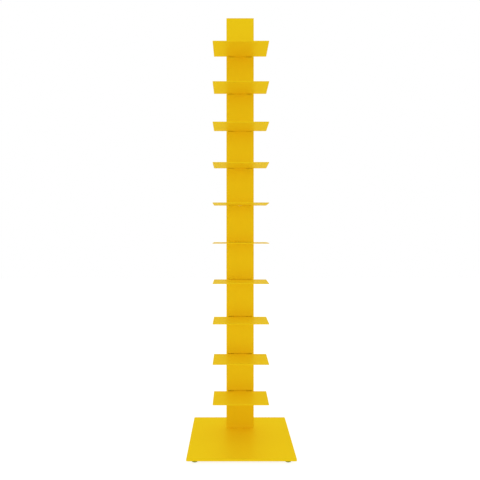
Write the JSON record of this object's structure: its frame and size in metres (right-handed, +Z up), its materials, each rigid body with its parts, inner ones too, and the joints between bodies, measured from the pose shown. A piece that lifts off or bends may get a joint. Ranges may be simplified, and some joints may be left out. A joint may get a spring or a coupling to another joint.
{
  "type": "spine bookshelf",
  "caption": "Tall tower bookshelf: small flat shelves hooked into the slots of a slim folded steel spine, on a square plate base with levelling feet.",
  "frame": {"origin": "on the floor under the middle of the square base", "axes": "+Z up the spine, +Y towards the back, +X to the right of someone who faces the shelves"},
  "size_m": [0.349, 0.349, 1.5135],
  "materials": {
    "yellow_powder_coat": "satin yellow powder coat, very fine texture",
    "zinc_plated_steel": "bright zinc plate",
    "foot_pad_plastic": "green moulded plastic, matt"
  },
  "bodies": {
    "tower": {"base_plate": "yellow_powder_coat", "base_screws": "zinc_plated_steel", "spine_foot": "yellow_powder_coat", "lower_spine": "yellow_powder_coat", "upper_spine": "yellow_powder_coat", "spine_splice": "yellow_powder_coat", "splice_screws": "zinc_plated_steel", "spine_cap": "yellow_powder_coat"},
    "shelf_01": {"shelf_01": "yellow_powder_coat"},
    "shelf_02": {"shelf_02": "yellow_powder_coat"},
    "shelf_03": {"shelf_03": "yellow_powder_coat"},
    "shelf_04": {"shelf_04": "yellow_powder_coat"},
    "shelf_05": {"shelf_05": "yellow_powder_coat"},
    "shelf_06": {"shelf_06": "yellow_powder_coat"},
    "shelf_07": {"shelf_07": "yellow_powder_coat"},
    "shelf_08": {"shelf_08": "yellow_powder_coat"},
    "shelf_09": {"shelf_09": "yellow_powder_coat"},
    "shelf_10": {"shelf_10": "yellow_powder_coat"},
    "foot_pad_front_left": {"foot_pad_front_left": "foot_pad_plastic"},
    "foot_stem_front_left": {"foot_stem_front_left": "zinc_plated_steel"},
    "foot_pad_front_right": {"foot_pad_front_right": "foot_pad_plastic"},
    "foot_stem_front_right": {"foot_stem_front_right": "zinc_plated_steel"},
    "foot_pad_back_left": {"foot_pad_back_left": "foot_pad_plastic"},
    "foot_stem_back_left": {"foot_stem_back_left": "zinc_plated_steel"},
    "foot_pad_back_right": {"foot_pad_back_right": "foot_pad_plastic"},
    "foot_stem_back_right": {"foot_stem_back_right": "zinc_plated_steel"}
  },
  "joints": [
    {"name": "shelf_01_tilt", "type": "hinge", "parent": "tower", "child": "shelf_01", "pos_m": [0, 0.073, 0.1546], "axis": [-1, 0, 0], "range_deg": [0, 60]},
    {"name": "shelf_02_tilt", "type": "hinge", "parent": "tower", "child": "shelf_02", "pos_m": [0, 0.073, 0.2902], "axis": [-1, 0, 0], "range_deg": [0, 60]},
    {"name": "shelf_03_tilt", "type": "hinge", "parent": "tower", "child": "shelf_03", "pos_m": [0, 0.073, 0.4258], "axis": [-1, 0, 0], "range_deg": [0, 60]},
    {"name": "shelf_04_tilt", "type": "hinge", "parent": "tower", "child": "shelf_04", "pos_m": [0, 0.073, 0.5614], "axis": [-1, 0, 0], "range_deg": [0, 60]},
    {"name": "shelf_05_tilt", "type": "hinge", "parent": "tower", "child": "shelf_05", "pos_m": [0, 0.073, 0.697], "axis": [-1, 0, 0], "range_deg": [0, 60]},
    {"name": "shelf_06_tilt", "type": "hinge", "parent": "tower", "child": "shelf_06", "pos_m": [0, 0.073, 0.8326], "axis": [-1, 0, 0], "range_deg": [0, 60]},
    {"name": "shelf_07_tilt", "type": "hinge", "parent": "tower", "child": "shelf_07", "pos_m": [0, 0.073, 0.9682], "axis": [-1, 0, 0], "range_deg": [0, 60]},
    {"name": "shelf_08_tilt", "type": "hinge", "parent": "tower", "child": "shelf_08", "pos_m": [0, 0.073, 1.1038], "axis": [-1, 0, 0], "range_deg": [0, 60]},
    {"name": "shelf_09_tilt", "type": "hinge", "parent": "tower", "child": "shelf_09", "pos_m": [0, 0.073, 1.2394], "axis": [-1, 0, 0], "range_deg": [0, 60]},
    {"name": "shelf_10_tilt", "type": "hinge", "parent": "tower", "child": "shelf_10", "pos_m": [0, 0.073, 1.375], "axis": [-1, 0, 0], "range_deg": [0, 85]},
    {"name": "foot_front_left_extend", "type": "slide", "parent": "tower", "child": "foot_pad_front_left", "axis": [0, 0, -1], "range_m": [0, 0.003]},
    {"name": "foot_front_left_turn", "type": "hinge", "parent": "foot_pad_front_left", "child": "foot_stem_front_left", "pos_m": [-0.149, -0.149, 0], "axis": [0, 0, -1], "range_deg": [0, 865]},
    {"name": "foot_front_right_extend", "type": "slide", "parent": "tower", "child": "foot_pad_front_right", "axis": [0, 0, -1], "range_m": [0, 0.003]},
    {"name": "foot_front_right_turn", "type": "hinge", "parent": "foot_pad_front_right", "child": "foot_stem_front_right", "pos_m": [0.149, -0.149, 0], "axis": [0, 0, -1], "range_deg": [0, 865]},
    {"name": "foot_back_left_extend", "type": "slide", "parent": "tower", "child": "foot_pad_back_left", "axis": [0, 0, -1], "range_m": [0, 0.003]},
    {"name": "foot_back_left_turn", "type": "hinge", "parent": "foot_pad_back_left", "child": "foot_stem_back_left", "pos_m": [-0.149, 0.149, 0], "axis": [0, 0, -1], "range_deg": [0, 865]},
    {"name": "foot_back_right_extend", "type": "slide", "parent": "tower", "child": "foot_pad_back_right", "axis": [0, 0, -1], "range_m": [0, 0.003]},
    {"name": "foot_back_right_turn", "type": "hinge", "parent": "foot_pad_back_right", "child": "foot_stem_back_right", "pos_m": [0.149, 0.149, 0], "axis": [0, 0, -1], "range_deg": [0, 865]}
  ],
  "couplings": [
    {"joint": "foot_front_left_turn", "follows": "foot_front_left_extend", "rad_per_m": 5026.5},
    {"joint": "foot_front_right_turn", "follows": "foot_front_right_extend", "rad_per_m": 5026.5},
    {"joint": "foot_back_left_turn", "follows": "foot_back_left_extend", "rad_per_m": 5026.5},
    {"joint": "foot_back_right_turn", "follows": "foot_back_right_extend", "rad_per_m": 5026.5}
  ]
}
